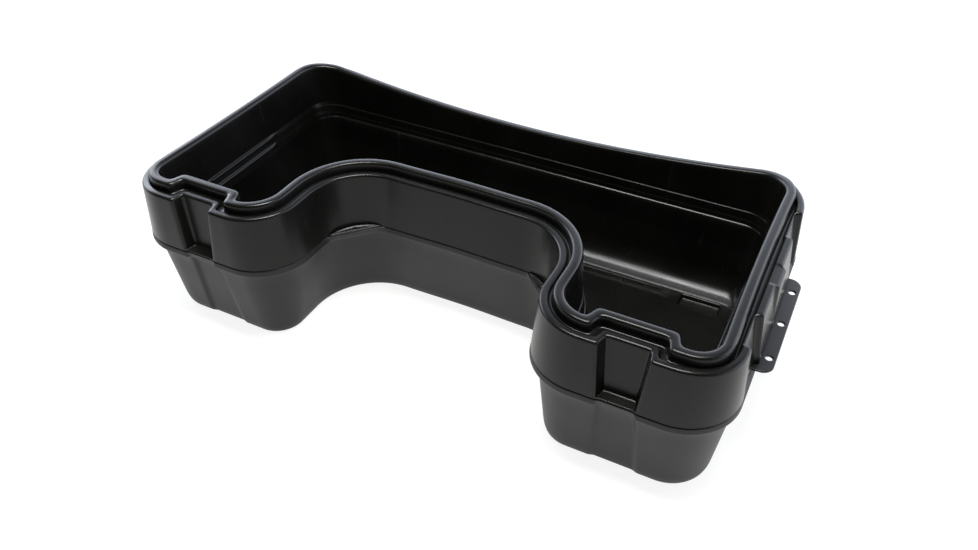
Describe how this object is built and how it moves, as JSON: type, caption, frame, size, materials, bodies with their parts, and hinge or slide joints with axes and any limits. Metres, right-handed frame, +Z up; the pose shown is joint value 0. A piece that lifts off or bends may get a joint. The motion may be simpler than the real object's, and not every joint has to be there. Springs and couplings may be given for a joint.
{
  "type": "cargo box base",
  "caption": "Open U-shaped plastic tub with a rounded rim, lid gutter and shoulder bead, two front latch pockets and a bolt flange on each end",
  "frame": {"origin": "under the middle of the tub's bounding box, on the ground it rests on", "axes": "+X along the length to the right end, +Y to the back wall with the dipped rim, +Z up"},
  "size_m": [1, 0.5104, 0.2494],
  "materials": {
    "satin_black": "smooth satin, lightly scuffed",
    "grained_black": "fine leather-like grain, matte",
    "flange_black": "pressed flat, matte"
  },
  "bodies": {
    "root": {"upper_shell": "satin_black", "lower_shell": "grained_black", "mounting_flange_right": "flange_black", "mounting_flange_left": "flange_black", "corner_tab_right": "flange_black", "corner_tab_left": "flange_black"}
  },
  "joints": []
}
